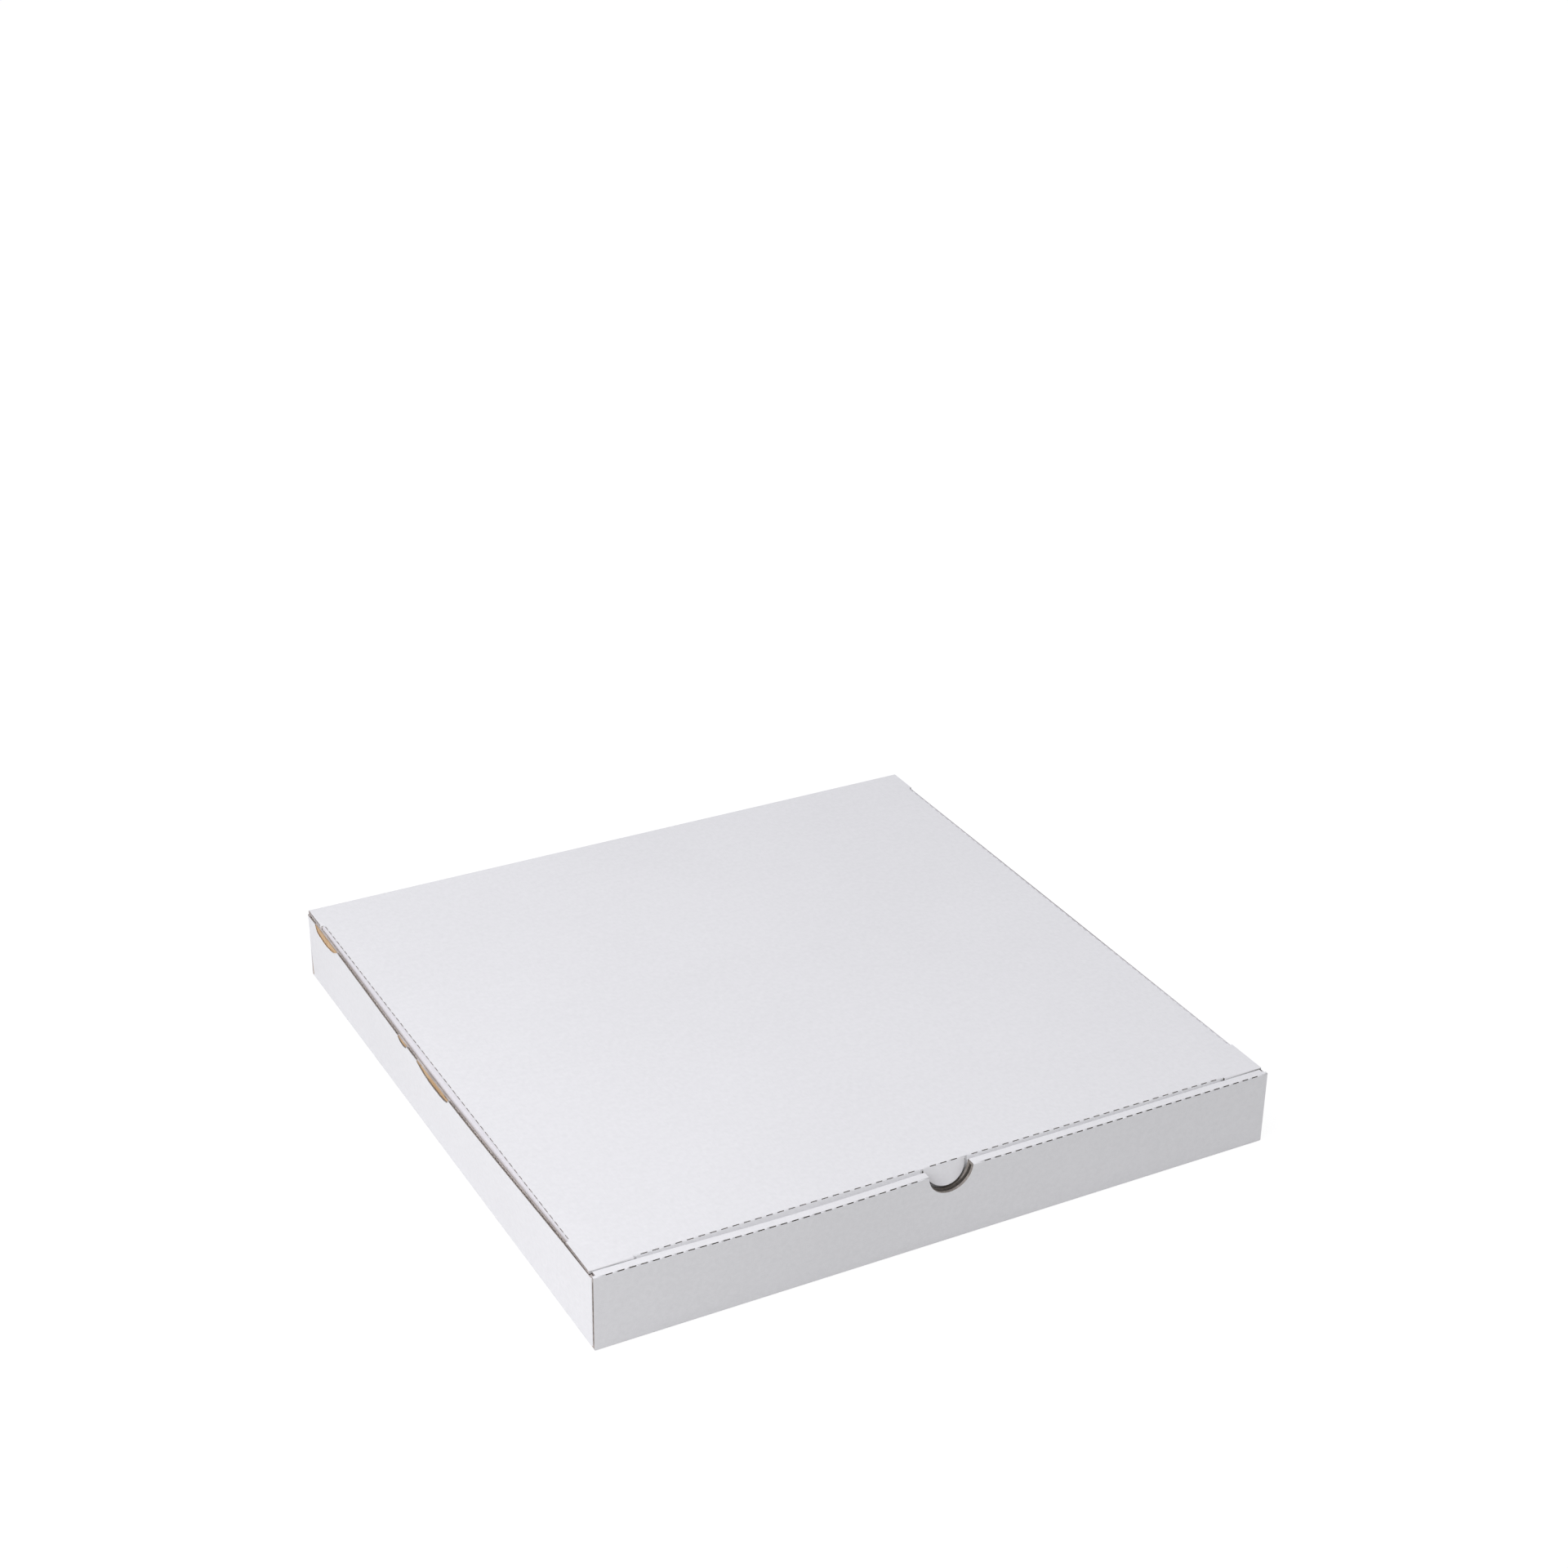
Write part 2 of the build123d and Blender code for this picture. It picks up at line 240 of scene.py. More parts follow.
edgeLook = {
    "dark": (0.29, 0.255, 0.235, 1.0),
    "mid": (0.48, 0.435, 0.41, 1.0),
    "light": (0.66, 0.615, 0.585, 1.0),
    "fleck": (0.15, 0.125, 0.11, 1.0),
    "roughness": 0.81,
    "roughens": 0.1,
    "specular": 0.12,
    "relief": 0.12 * mm,
    "crush": (1900.0, 4.0, 0.7),
    "heights": {"fibre": 0.5, "crush": 0.8},
}
# painted shade: a darker cut edge for the slits and notch in front and the gap behind the notch
shadedCutLook = dict(
    edgeLook,
    dark=(0.15, 0.13, 0.115, 1.0),
    mid=(0.26, 0.235, 0.21, 1.0),
    light=(0.40, 0.37, 0.34, 1.0),
    fleck=(0.11, 0.09, 0.075, 1.0),
)


def cutEdge(name, look):  # die-cut edges: crushed grey-brown fibres, greyed and darkened with painted shade of the hollow flutes
    finish, wire = newFinish(name)
    place = wire.node("ShaderNodeTexCoord", output="Object")
    colour, fibre = kraftColour(wire, place, look)
    crush = place.cloud(*look["crush"])
    height = fibre * look["heights"]["fibre"] + crush * look["heights"]["crush"]
    paper(wire, look, colour, crush * look["roughens"] + look["roughness"], height)
    return finish


tornLook = {
    "dark": (0.42, 0.27, 0.145, 1.0),
    "mid": (0.62, 0.425, 0.24, 1.0),
    "light": (0.75, 0.58, 0.39, 1.0),
    "fleck": (0.30, 0.18, 0.09, 1.0),
    "wisp": (0.80, 0.72, 0.60, 1.0),
    "wispRange": (0.56, 0.72),
    "wispShare": 0.6,
    "roughness": 0.85,
    "roughens": 0.1,
    "specular": 0.1,
    "relief": 0.25 * mm,
    "rough": ((600.0, 260.0, 900.0), 5.0, 0.7),
    "heights": {"waves": 0.3, "rough": 0.9},
}


def tornKraft():  # brown core left bare where the white liner came off, with paler wisps of fibre
    finish, wire = newFinish("tornKraft")
    place = wire.node("ShaderNodeTexCoord", output="Object")
    colour, fibre = kraftColour(wire, place, tornLook)
    rough = place.grain(*tornLook["rough"])
    wisps = rough.step(*tornLook["wispRange"])
    colour = (wisps * tornLook["wispShare"]).mix(colour, tornLook["wisp"])
    height = fluteWaves(wire, place) * tornLook["heights"]["waves"] + rough * tornLook["heights"]["rough"]
    paper(wire, tornLook, colour, rough * tornLook["roughens"] + tornLook["roughness"], height)
    return finish


fluteLook = dict(
    kraftLook,
    dark=(0.30, 0.26, 0.22, 1.0),
    mid=(0.42, 0.375, 0.33, 1.0),
    light=(0.53, 0.485, 0.43, 1.0),
)


def flutePaper():
    finish, wire = newFinish("flutePaper")
    place = wire.node("ShaderNodeTexCoord", output="Object")
    colour, fibre = kraftColour(wire, place, fluteLook)
    paper(wire, fluteLook, colour, fibre * fluteLook["roughens"] + fluteLook["roughness"], fibre)
    return finish


finishes = {
    "white": whiteLiner("whiteLiner", whiteLook),
    "shadedFold": whiteLiner("shadedFoldLiner", shadedFoldLook),
    "kraft": kraftLiner(),
    "edge": cutEdge("cutEdge", edgeLook),
    "slit": cutEdge("shadedCutEdge", shadedCutLook),
    "torn": tornKraft(),
    "flute": flutePaper(),
}
finishOrder = list(finishes)
print("finishes made:", finishOrder)


def paint(face, finish):
    face.material_index = finishOrder.index(finish)


def newPiece(name, bm, body=None):
    mesh = bpy.data.meshes.new(name)
    bm.to_mesh(mesh)
    bm.free()
    for finish in finishes.values():
        mesh.materials.append(finish)
    piece = bpy.data.objects.new(name, mesh)
    scene.collection.objects.link(piece)
    if body:
        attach(piece, body)
    return piece


def applyModifiers(piece):
    bpy.context.view_layer.update()
    graph = bpy.context.evaluated_depsgraph_get()
    done = bpy.data.meshes.new_from_object(piece.evaluated_get(graph))
    old = piece.data
    piece.modifiers.clear()
    piece.data = done
    bpy.data.meshes.remove(old)


def softShading(piece, limitDegrees):
    for face in piece.data.polygons:
        face.use_smooth = True
    piece.data.set_sharp_from_angle(angle=math.radians(limitDegrees))
    even = piece.modifiers.new("evenNormals", "WEIGHTED_NORMAL")
    even.keep_sharp = True
    even.weight = 100  # large faces count most


# The sheet of board: which CAD faces are white outside, brown inside, cut edge or torn
board = {
    "thickness": 1.5 * mm,
    "linerLimit": 2.6 * mm,      # a face with less board behind it is a liner, one with more is a cut edge
    "tornLimit": 1.25 * mm,
    "slitArea": 3.2 * mm * mm,
    "sideFold": 165.0 * mm,      # the lid's side folds lie further out
    "frontSlits": -170.0 * mm,   # slits and notch in front of this get painted shade, darker than other cut edges
    "notchHalf": 20.0 * mm,
    "doubleWall": -176.9 * mm,   # faces within the rolled front wall, painted dark as shade behind the notch
    "rolledBack": -178.0 * mm,   # the rolled front wall's inner panel lies behind this, white side inwards
    "rolledFront": -174.5 * mm,
    "rolledHalf": 110.0 * mm,
    "square": 0.9,               # a face turned at least this much along an axis is square to it
    "foldUp": 0.3,               # folds that face up more than this are white
    # painted shade: faces of the lid's side folds turned up more than this get the darker white
    "shadedFoldUp": 0.2,
    "weld": 0.002 * mm,
    "probes": 9,
    "probeStart": 0.001 * mm,
    "probeFar": 1.0,
    "probeSlants": ((0.03, 0.02), (0.16, -0.05), (-0.07, 0.15), (-0.11, -0.13)),
    "sharpDegrees": 35.0,
    "foldLength": 6.0 * mm,      # a rounded face longer than this is a fold
    "foldTurn": 30.0,            # degrees between its ends
    "foldMost": 0.9,             # share of its triangles that must lie straight along the fold
    "foldStray": 0.2,
    "outerFace": 179.9 * mm,     # sides of the base, in one plane with the raw ends of front and back walls
    "rawEnds": 178.4 * mm,
    "baseTop": 2.0 * mm,
    "earFront": -174.5 * mm,     # front edges of the lid's corners, of which little but the liner shows
}


def cadFaces(bm):  # the mesh's islands, each one face of the CAD solid
    left = set(bm.faces)
    while left:
        start = min(left, key=lambda face: face.index)
        island, edgeOfIsland = {start}, [start]
        while edgeOfIsland:
            face = edgeOfIsland.pop()
            for edge in face.edges:
                for other in edge.link_faces:
                    if other not in island:
                        island.add(other)
                        edgeOfIsland.append(other)
        left -= island
        yield sorted(island, key=lambda face: face.index)


def boardBehind(island, tree):  # median depth of board under a face, each place probed at several slants
    depths = []
    for face in sorted(island, key=lambda face: -face.calc_area())[:board["probes"]]:
        start = face.calc_center_median() - face.normal * board["probeStart"]
        side = face.normal.orthogonal().normalized()
        other = face.normal.cross(side)
        reached = []
        for slantA, slantB in board["probeSlants"]:
            hit = tree.ray_cast(start, (side * slantA + other * slantB - face.normal).normalized())
            reached.append(hit[3] if hit[3] is not None else board["probeFar"])
        depths.append(min(reached))
    return sorted(depths)[len(depths) // 2]


def isFold(island):  # long rounded face along X or Y
    normals = np.array([face.normal for face in island])
    places = np.array([corner.co for face in island for corner in face.verts])
    spans = np.ptp(places, axis=0)
    for axis in (0, 1):
        turns = np.ptp(np.unwrap(np.arctan2(normals[:, 2], normals[:, 1 - axis])))
        straight = np.quantile(abs(normals[:, axis]), board["foldMost"]) < board["foldStray"]
        if straight and spans[axis] > board["foldLength"] and turns > math.radians(board["foldTurn"]):
            return True
    return False


def finishOf(node, island, tree):
    area = sum(face.calc_area() for face in island)
    middle = sum((face.calc_center_median() * face.calc_area() for face in island), Vector()) / area
    facing = sum((face.normal * face.calc_area() for face in island), Vector()) / area
    fold = isFold(island)
    depth = board["thickness"] if fold else boardBehind(island, tree)
    slit = area < board["slitArea"]
    inFront = middle.y < board["frontSlits"]
    # the right fold's slits are closed up, and take the darker white with painted shade
    if node == "lid" and slit and middle.x > board["sideFold"] and not inFront:
        return "shadedFold"  # the right fold's slits are closed up
    if slit or depth > board["linerLimit"]:
        # painted shade: slits and the notch in front get the darker cut finish
        return "slit" if inFront and (slit or abs(middle.x) < board["notchHalf"]) else "edge"
    if node == "tray" and middle.x < 2 * board["thickness"] - half and depth < board["tornLimit"]:
        return "torn"
    outside = facing.dot(middle - Vector((0, 0, boxHeight / 2))) > 0 or (fold and facing.z > board["foldUp"])
    if node == "tray" and abs(facing.y) > board["square"]:
        rolled = board["rolledBack"] < middle.y < board["rolledFront"]
        if rolled and abs(middle.x) < board["rolledHalf"]:
            outside = not outside
        # painted shade: the rolled front wall's hidden faces in front take the dark cut finish
        if not outside and middle.y < board["doubleWall"]:
            return "slit"
    # painted shade: the lid's side folds, where they face up, get a darker white
    if node == "lid" and outside and abs(middle.x) > board["sideFold"] and facing.z > board["shadedFoldUp"]:
        return "shadedFold"
    return "white" if outside else "kraft"


def isPaleEdge(node, face):  # edges that show white: base sides, back corners, fronts of the lid's corners
    spot = face.calc_center_median()
    if node == "lid":
        return spot.y < board["earFront"] and abs(face.normal.y) > board["square"]
    low = spot.z < board["baseTop"] and spot.y > -board["rawEnds"]
    atSide = abs(spot.x) > board["outerFace"] and abs(face.normal.x) > board["square"]
    return atSide and (low or spot.y > board["rawEnds"])


def boardMesh(node):  # a copy of the CAD mesh with its finishes set, welded into one skin
    bm = bmesh.new()
    bm.from_mesh(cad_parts[node].data)
    bm.normal_update()
    tree = BVHTree.FromBMesh(bm)
    count = dict.fromkeys(finishOrder, 0)
    for island in cadFaces(bm):
        finish = finishOf(node, island, tree)
        count[finish] += 1
        for face in island:
            paint(face, "white" if finish == "edge" and isPaleEdge(node, face) else finish)
    bmesh.ops.remove_doubles(bm, verts=bm.verts, dist=board["weld"])
    print("faces of", node, count)
    return bm


# Shapes are added as tubes: closed solids through rings of as many corners each
def addTube(bm, rings, finish):
    rows = [[bm.verts.new(corner) for corner in ring] for ring in rings]
    faces = [bm.faces.new(rows[0][::-1]), bm.faces.new(rows[-1])]
    for first, second in zip(rows, rows[1:]):
        size = len(first)
        for index in range(size):
            after = (index + 1) % size
            faces.append(bm.faces.new((first[index], first[after], second[after], second[index])))
    for face in faces:
        paint(face, finish)
    return faces


def addBlock(bm, low, high, finish):
    corners = ((low[1], low[2]), (high[1], low[2]), (high[1], high[2]), (low[1], high[2]))
    addTube(bm, [[Vector((x, y, z)) for y, z in corners] for x in (low[0], high[0])], finish)


def spread(start, end, step):  # evenly spaced values, about a step apart
    count = max(int(abs(end - start) / step), 1)
    return [start + (end - start) * index / count for index in range(count + 1)]


def cutBoard(piece, bm):  # takes the cutters in bm out of a piece
    bmesh.ops.recalc_face_normals(bm, faces=bm.faces)
    cutter = newPiece("cutter", bm)
    cut = piece.modifiers.new("cut", "BOOLEAN")
    cut.operation = "DIFFERENCE"
    cut.solver = "EXACT"
    cut.material_mode = "INDEX"
    cut.object = cutter
    applyModifiers(piece)
    bpy.data.objects.remove(cutter)


# Side walls as the CAD has them: straight at the base, bowed outwards along the top
sideWall = {
    "top": 38.4 * mm,
    "front": -178.35 * mm,
    "back": 178.35 * mm,
    "bows": {                    # left and right wall, in mm: front end, back end, swell, lean forwards
        -1: (0.15, 1.2, 2.15, 0.7),
        1: (0.4, 0.5, 0.25, 0.0),
    },
}


def wallFace(side, y, z):  # distance of a side wall's outer face from the middle
    front, back, swell, forwards = sideWall["bows"][side]
    place = y / half
    line = (front + back) / 2 + (back - front) / 2 * place
    bow = line + (swell - forwards * place) * (1 - place ** 2) ** 2
    return half + bow * mm * (z - board["thickness"]) / (sideWall["top"] - board["thickness"])


# Liner torn off the left wall's top edge: (place along the wall, depth) in mm along each lower edge
tornPlaces = {
    "back": [
        (133.4, 0.3), (138, 2.9), (142, 4.0), (149, 4.9), (155, 4.8), (160, 4.3), (164, 3.4), (166.2, 1.0),
    ],
    "small": [(32.3, 0.3), (34, 1.5), (36.2, 2.1), (39, 2.25), (41.8, 1.8), (44, 0.3)],
    "centre": [
        (-21.2, 0.4), (-20, 1.6), (-16.7, 2.9), (-11, 3.4), (-5, 3.6),
        (1, 3.6), (6, 3.3), (11, 2.6), (15, 1.7), (18.4, 0.4),
    ],
}
tornShape = {
    "cut": 0.47 * mm,
    "ragged": 0.3 * mm,
    "raggedShift": 0.4,
    "least": 0.1 * mm,
    "step": 0.35 * mm,
    "over": 1.0 * mm,
    "grain": 900.0,
    "fractal": (0.8, 2.0, 3),
}


def tornLine(knots):  # (y, depth) along one torn place's ragged lower edge
    places, depths = zip(*knots)
    line = []
    for y in spread(places[0] * mm, places[-1] * mm, tornShape["step"]):
        depth = np.interp(y / mm, places, depths) * mm
        jag = noise.fractal(Vector((y * tornShape["grain"], places[0], 0)), *tornShape["fractal"])
        ragged = (jag + tornShape["raggedShift"]) * tornShape["ragged"]
        line.append((y, max(depth + ragged, tornShape["least"])))
    return line


def tornCutters(bm):
    cut, over = tornShape["cut"], tornShape["over"]
    for knots in tornPlaces.values():
        rings = []
        for y, depth in tornLine(knots):
            low, high = sideWall["top"] - depth, sideWall["top"] + over
            lowFace, highFace = -wallFace(-1, y, low), -wallFace(-1, y, high)
            rings.append([
                Vector((lowFace - over, y, low)),
                Vector((lowFace + cut, y, low)),
                Vector((highFace + cut, y, high)),
                Vector((highFace - over, y, high)),
            ])
        addTube(bm, rings, "torn")


# Raw edges that cut across the flutes get a groove between the liners, with the wavy paper in it
def edgeRun(points, across, inwards):  # stations along an edge: its middle, across the board, into the board
    return [(Vector(point), Vector(across), Vector(inwards)) for point in points]


def grooveCutter(bm, run):
    gap = board["thickness"] / 2 - flutes["liner"]
    rings = []
    for point, across, inwards in run:
        top, bottom = -inwards * flutes["grooveOver"], inwards * flutes["grooveDepth"]
        side = across * gap
        rings.append([point - side + top, point + side + top, point + side + bottom, point - side + bottom])
    addTube(bm, rings, "edge")


def fluteRibbon(bm, run):
    swing = board["thickness"] / 2 - flutes["liner"] - flutes["paper"] / 2
    lengths = [0.0]
    for first, second in zip(run, run[1:]):
        lengths.append(lengths[-1] + (second[0] - first[0]).length)
    rings = []
    count = int(lengths[-1] / flutes["pitch"] * flutes["stepsPerWave"])
    for index in range(count + 1):
        place = lengths[-1] * index / count
        spot = min(int(np.searchsorted(lengths, place, side="right")) - 1, len(run) - 2)
        share = (place - lengths[spot]) / (lengths[spot + 1] - lengths[spot])
        point = run[spot][0].lerp(run[spot + 1][0], share)
        across, inwards = run[spot][1], run[spot][2]
        along = (run[spot + 1][0] - run[spot][0]).normalized()
        turn = 2 * math.pi * place / flutes["pitch"]
        slope = swing * math.cos(turn) * 2 * math.pi / flutes["pitch"]
        side = (across - along * slope).normalized() * flutes["paper"] / 2
        middle = point + across * swing * math.sin(turn)
        top, bottom = inwards * flutes["recess"], inwards * flutes["grooveDepth"]
        rings.append([
            middle - side + top,
            middle + side + top,
            middle + side + bottom,
            middle - side + bottom,
        ])
    addTube(bm, rings, "flute")


trayEdges = {
    "wallMargin": 2.5 * mm,      # groove ends short of the edge's ends
    "tornMargin": 0.8 * mm,
    "endMargin": 2.0 * mm,
    "step": 6.0 * mm,
    "frontTop": 37.0 * mm,
}


def trayRuns():
    runs = []
    middle = board["thickness"] / 2
    margin = trayEdges["tornMargin"]
    gaps = sorted((knots[0][0] * mm - margin, knots[-1][0] * mm + margin) for knots in tornPlaces.values())
    for side in (-1, 1):
        ends = [sideWall["front"] + trayEdges["wallMargin"]]
        for gap in gaps if side < 0 else []:
            ends += gap
        ends.append(sideWall["back"] - trayEdges["wallMargin"])
        for start, end in zip(ends[::2], ends[1::2]):
            if end - start < flutes["pitch"]:
                continue
            points = []
            for y in spread(start, end, trayEdges["step"]):
                points.append((side * (wallFace(side, y, sideWall["top"]) - middle), y, sideWall["top"]))
            runs.append(edgeRun(points, (side, 0, 0), (0, 0, -1)))
        frontEnds = (board["thickness"] + trayEdges["endMargin"], trayEdges["frontTop"])
        runs.append(edgeRun([(side * half, middle - half, z) for z in frontEnds], (0, 1, 0), (-side, 0, 0)))
    return runs


lidEdges = {
    "half": 179.8 * mm,
    "earMiddle": 39.25 * mm,
    "frontEar": (-173.4 * mm, -152.8 * mm),
    "backEar": (162.4 * mm, 175.4 * mm),
}


def lidRuns():
    runs = []
    for side in (-1, 1):
        for ends in (lidEdges["frontEar"], lidEdges["backEar"]):
            points = [(side * lidEdges["half"], y, lidEdges["earMiddle"]) for y in ends]
            runs.append(edgeRun(points, (0, 0, 1), (-side, 0, 0)))
    return runs


# The lid's front fold, bent round as thick board bends
frontFold = {
    "face": -173.89 * mm,        # outer face of the tuck flap
    "radius": 1.5 * mm,
    "inner": 12.4 * mm,          # clear of the thumb tab
    "outer": 157.9 * mm,
    "over": 2.0 * mm,
    "steps": 8,
}


def foldCutter(bm):
    face, radius, over = frontFold["face"], frontFold["radius"], frontFold["over"]
    outline = [
        (face - over, boxHeight - radius),
        (face - over, boxHeight + over),
        (face + radius, boxHeight + over),
    ]
    for index in range(frontFold["steps"] + 1):
        turn = math.pi / 2 * index / frontFold["steps"]
        outline.append((face + radius * (1 - math.sin(turn)), boxHeight - radius * (1 - math.cos(turn))))
    for side in (-1, 1):
        ends = (side * frontFold["inner"], side * frontFold["outer"])
        addTube(bm, [[Vector((x, y, z)) for y, z in outline] for x in ends], "white")


# The fold between back wall and lid: cut out of both, and made again as one finely divided strip
hinge = {
    "wallCut": 36.0 * mm,
    "lidCut": 176.0 * mm,
    "innerFace": 178.43 * mm,    # the back wall is cut from just inside its inner face
    "lidHalf": 179.8 * mm,
    "radius": 1.2 * mm,
    "over": 2.0 * mm,
    "bendLength": 3.0 * mm,
    "steps": 6,
    "step": 0.35 * mm,           # between rows of corners round the strip, and along it
    "bay": 20.0 * mm,
    "sharpDegrees": 50.0,
}


def trayCutters(bm):
    tornCutters(bm)
    reach = half + hinge["over"]
    addBlock(bm, (-reach, hinge["innerFace"], hinge["wallCut"]), (reach, reach, boxHeight), "edge")


def lidCutters(bm):
    foldCutter(bm)
    reach = half + hinge["over"]
    low, high = boxHeight - hinge["over"], boxHeight + hinge["over"]
    addBlock(bm, (-reach, hinge["lidCut"], low), (reach, reach, high), "edge")


def makeBoard(node, runs, addCutters):  # a CAD node as board, and the fluting in its raw edges
    piece = newPiece(node + "Board", boardMesh(node), node)
    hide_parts(node)
    bm = bmesh.new()
    for run in runs:
        grooveCutter(bm, run)
    addCutters(bm)
    cutBoard(piece, bm)
    softShading(piece, board["sharpDegrees"])
    bm = bmesh.new()
    for run in runs:
        fluteRibbon(bm, run)
    ribbons = newPiece(node + "Flutes", bm, node)
    softShading(ribbons, flutes["sharpDegrees"])
    print(node, "board:", len(piece.data.polygons), "faces; fluting:", len(ribbons.data.polygons))


# The tuck flap, sprung forwards below its fold until it lies against the bowed front wall
tuckBulge = {
    "gap": 1.31 * mm,            # between the flap and the front wall's roll at its ends
    "bow": 0.8 * mm,             # of the front wall, and its bulge left of the notch
    "bulge": 1.6 * mm,
    "bulgePlace": -0.42,
    "bulgeReach": 0.45,
    "room": 0.25 * mm,
    "leanShare": 0.75,           # of the top's lean, at the height where the flap meets the wall
    "inner": 12.6 * mm,
    "outer": 156.5 * mm,
    "step": 4.0 * mm,
    "top": 39.45 * mm,           # starts here, sunk into the flap
    "sunk": 0.3 * mm,
    "slope": 2.0,                # drop for each step forwards
    "rest": 1.2 * mm,            # height that lies against the front wall
    "tail": 4.0 * mm,
    "sharpDegrees": 40.0,
}


def frontLean(x):  # how far the front wall's top leans out
    place = x / half
    bulge = min(abs(place - tuckBulge["bulgePlace"]) / tuckBulge["bulgeReach"], 1.0)
    return tuckBulge["bow"] * (1 - place ** 2) + tuckBulge["bulge"] * (1 - bulge ** 2) ** 2


def makeTuckBulge():
    bm = bmesh.new()
    back = frontFold["face"] + tuckBulge["sunk"]
    for side in (-1, 1):
        rings = []
        for x in spread(side * tuckBulge["inner"], side * tuckBulge["outer"], tuckBulge["step"]):
            lean = tuckBulge["leanShare"] * frontLean(x)
            front = frontFold["face"] - tuckBulge["gap"] - lean + tuckBulge["room"]
            meets = tuckBulge["top"] - (back - front) * tuckBulge["slope"]
            leaves = meets - tuckBulge["rest"]
            rings.append([
                Vector((x, back, tuckBulge["top"])),
                Vector((x, front, meets)),
                Vector((x, front, leaves)),
                Vector((x, back, leaves - tuckBulge["tail"])),
            ])
        addTube(bm, rings, "white")
    bmesh.ops.recalc_face_normals(bm, faces=bm.faces)
    piece = newPiece("tuckBulge", bm, "lid")
    softShading(piece, tuckBulge["sharpDegrees"])


def hingeOutline():  # (y, z, finish) round the strip, from the back wall up, over and back underneath
    under, inner = boxHeight - board["thickness"], half - board["thickness"]
    radius, step = hinge["radius"], hinge["step"]
    centreY, centreZ = half - radius, boxHeight - radius
    outline = [(half, z, "white") for z in spread(hinge["wallCut"], centreZ, step)]
    for index in range(1, hinge["steps"]):
        turn = math.pi / 2 * index / hinge["steps"]
        outline.append((centreY + radius * math.cos(turn), centreZ + radius * math.sin(turn), "white"))
    outline += [(y, boxHeight, "white") for y in spread(centreY, hinge["lidCut"], step)]
    outline[-1] = outline[-1][:2] + ("edge",)
    outline += [(y, under, "kraft") for y in spread(hinge["lidCut"], inner, step)[:-1]]
    outline += [(inner, z, "kraft") for z in spread(under, hinge["wallCut"], step)]
    outline[-1] = outline[-1][:2] + ("edge",)
    return outline


def makeHingeFold():
    outline = hingeOutline()
    bm = bmesh.new()
    rows = []
    for x in spread(-hinge["lidHalf"], hinge["lidHalf"], hinge["bay"]):
        rows.append([bm.verts.new((x, y, z)) for y, z, finish in outline])
    for first, second in zip(rows, rows[1:]):
        for index, (y, z, finish) in enumerate(outline):
            after = (index + 1) % len(outline)
            paint(bm.faces.new((first[index], first[after], second[after], second[index])), finish)
    for row in (rows[0][::-1], rows[-1]):
        paint(bm.faces.new(row), "edge")
    bmesh.ops.recalc_face_normals(bm, faces=bm.faces)
    piece = newPiece("hingeFold", bm)
    softShading(piece, hinge["sharpDegrees"])
    applyModifiers(piece)
    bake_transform(piece)


# Torn paper left standing along the lower edge of each torn place
lips = {
    "thickness": 0.14 * mm,
    "sunk": 0.25 * mm,
    "grain": 1300.0,
    "grainPlace": (7.0, 3.0),
    "fractal": (0.7, 2.0, 3),
    "rise": 12.0,                # grows to full height over one part in this many of its length
    "endGrow": 0.05,
    "curlPower": 1.5,
    "innerFacing": -0.2,         # faces turned less to the left than this show the torn side
    "sharpDegrees": 40.0,
    "places": {                  # the two in front are dark all over, in the slit finish
        "back": {"tall": 0.75 * mm, "least": 0.12, "curl": 0.45 * mm, "outside": "white"},
        "small": {"tall": 1.0 * mm, "least": 0.5, "curl": 0.1 * mm, "outside": "slit"},
        "centre": {"tall": 1.1 * mm, "least": 0.5, "curl": 0.1 * mm, "outside": "slit"},
    },
}


def makeTornLips():
    bm = bmesh.new()
    pale = []
    for name, knots in tornPlaces.items():
        lip = lips["places"][name]
        rings = []
        line = tornLine(knots)
        for index, (y, depth) in enumerate(line):
            share = index / (len(line) - 1)
            fray = noise.fractal(Vector((y * lips["grain"], *lips["grainPlace"])), *lips["fractal"])
            ends = max(min(1.0, lips["rise"] * share, lips["rise"] * (1 - share)), lips["endGrow"])
            grow = ends * min(max(0.5 + 0.5 * fray, lip["least"]), 1.0)
            low = sideWall["top"] - depth
            skin = -wallFace(-1, y, low)
            tip = low + lip["tall"] * grow
            lean = lip["curl"] * grow ** lips["curlPower"]
            rings.append([
                Vector((skin, y, low - lips["sunk"])),
                Vector((skin - lean, y, tip)),
                Vector((skin - lean + lips["thickness"], y, tip)),
                Vector((skin + lips["thickness"], y, low - lips["sunk"])),
            ])
        faces = addTube(bm, rings, lip["outside"])
        if lip["outside"] == "white":
            pale += faces
    bmesh.ops.recalc_face_normals(bm, faces=bm.faces)
    bm.normal_update()
    for face in pale:
        if face.normal.x > lips["innerFacing"]:
            paint(face, "torn")
    piece = newPiece("tornLips", bm, "tray")
    softShading(piece, lips["sharpDegrees"])


makeBoard("tray", trayRuns(), trayCutters)
makeBoard("lid", lidRuns(), lidCutters)
makeTuckBulge()
makeHingeFold()
makeTornLips()
print("board pieces made")

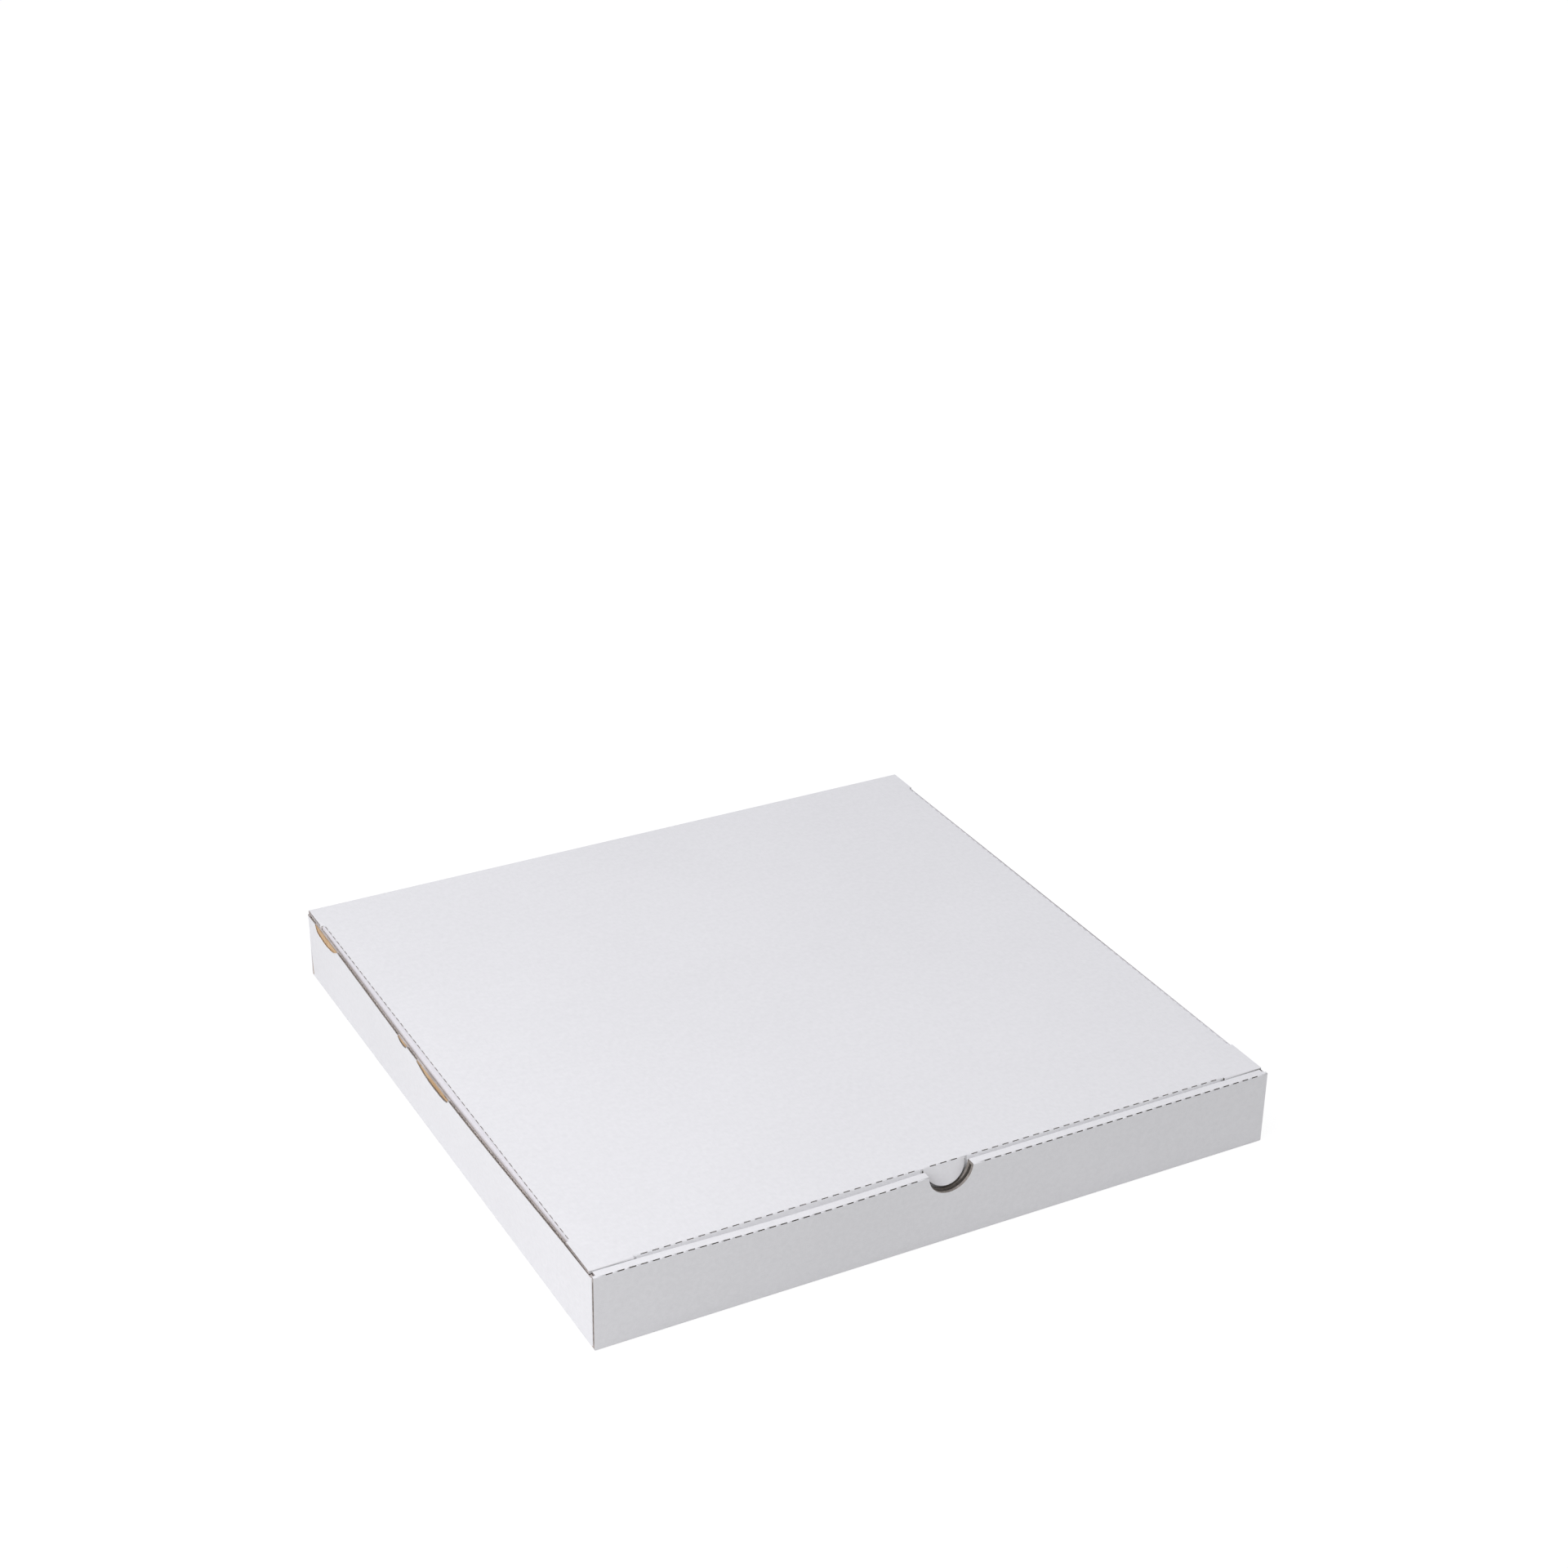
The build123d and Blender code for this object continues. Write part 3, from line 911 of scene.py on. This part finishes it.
# Studio: white sweep, even light all round, a soft lamp overhead and one on the left
studio = {
    "floorSize": 12.0,
    "floorBounce": (0.72, 0.72, 0.72, 1.0),
    "floorShade": (0.16, 0.16, 0.16, 1.0),    # what the camera sees of the floor's own shade
    "floorGlow": 0.90,
    "ambient": 0.57,
    "keyTurn": (-0.3, -0.1, 0.7),             # towards a far soft light overhead
    "keyStrength": 0.45,
    "keyAngle": 22.0,
    "keyColour": (0.92, 0.9, 1.15),
    "windowPlace": (-0.78, -0.22, 0.7),       # a nearer one on the left, whose light falls off across the lid
    "windowSize": 0.7,
    "windowPower": 4.2,
    "windowColour": (1.0, 0.99, 1.02),
}


def seenDirectly(wire):  # 1 for rays from the camera, also by way of a mirror or glass
    path = wire.node("ShaderNodeLightPath")
    seen = wire.math("MAXIMUM", path.out("Is Camera Ray"), path.out("Is Glossy Ray"))
    return wire.math("MAXIMUM", seen, path.out("Is Transmission Ray"))


def makeFloor():
    size = studio["floorSize"] / 2
    bm = bmesh.new()
    corners = [bm.verts.new((x * size, y * size, 0)) for x, y in ((-1, -1), (1, -1), (1, 1), (-1, 1))]
    bm.faces.new(corners)
    mesh = bpy.data.meshes.new("floor")
    bm.to_mesh(mesh)
    bm.free()
    floor = bpy.data.objects.new("floor", mesh)
    scene.collection.objects.link(floor)
    finish, wire = newFinish("floorWhite")
    bounce = wire.node("ShaderNodeBsdfDiffuse", None, {"Color": studio["floorBounce"]})
    shade = wire.node("ShaderNodeBsdfDiffuse", None, {"Color": studio["floorShade"]})
    glow = wire.node("ShaderNodeEmission", None, {"Strength": studio["floorGlow"]})
    shown = wire.node("ShaderNodeAddShader", None, {0: shade, 1: glow})
    both = wire.node("ShaderNodeMixShader", None, {0: seenDirectly(wire), 1: bounce, 2: shown})
    wire.node("ShaderNodeOutputMaterial", None, {"Surface": both})
    mesh.materials.append(finish)


def makeSky():
    world = bpy.data.worlds.new("studio")
    scene.world = world
    world.use_nodes = True
    world.node_tree.nodes.clear()
    wire = Wire(world.node_tree)
    seen = seenDirectly(wire)
    strength = seen + (1.0 - seen) * studio["ambient"]
    sky = wire.node("ShaderNodeBackground", None, {"Color": (1.0, 1.0, 1.0, 1.0), "Strength": strength})
    wire.node("ShaderNodeOutputWorld", None, {"Surface": sky})


def addLamp(name, kind, strength, colour, towards):
    light = bpy.data.lights.new(name, kind)
    light.energy = strength
    light.color = colour
    lamp = bpy.data.objects.new(name, light)
    lamp.rotation_euler = Vector(towards).to_track_quat("Z", "Y").to_euler()
    scene.collection.objects.link(lamp)
    return lamp


def makeLamps():
    key = addLamp("key", "SUN", studio["keyStrength"], studio["keyColour"], studio["keyTurn"])
    key.data.angle = math.radians(studio["keyAngle"])
    window = addLamp("window", "AREA", studio["windowPower"], studio["windowColour"], studio["windowPlace"])
    window.data.size = studio["windowSize"]
    window.location = studio["windowPlace"]


# Camera fitted to the box's corners in a square frame
view = {
    "place": (-0.58617, -1.08617, 0.78353),
    "azimuth": 28.68,
    "down": 26.945,
    "roll": 0.996,
    "sensor": 36.0,
    "lens": 64.941,
}


def makeCamera():
    azimuth, down, roll = (math.radians(view[name]) for name in ("azimuth", "down", "roll"))
    ahead = Vector((math.sin(azimuth) * math.cos(down), math.cos(azimuth) * math.cos(down), -math.sin(down)))
    right = ahead.cross(Vector((0, 0, 1))).normalized()
    up = right.cross(ahead)
    right, up = right * math.cos(roll) + up * math.sin(roll), up * math.cos(roll) - right * math.sin(roll)
    data = bpy.data.cameras.new("camera")
    data.sensor_width = view["sensor"]
    data.lens = view["lens"]
    camera = bpy.data.objects.new("camera", data)
    turn = Matrix((right, up, -ahead)).transposed().to_4x4()
    camera.matrix_world = Matrix.Translation(view["place"]) @ turn
    scene.collection.objects.link(camera)
    scene.camera = camera


makeFloor()
makeSky()
makeLamps()
makeCamera()
scene.view_settings.view_transform = "Standard"
print("studio made")
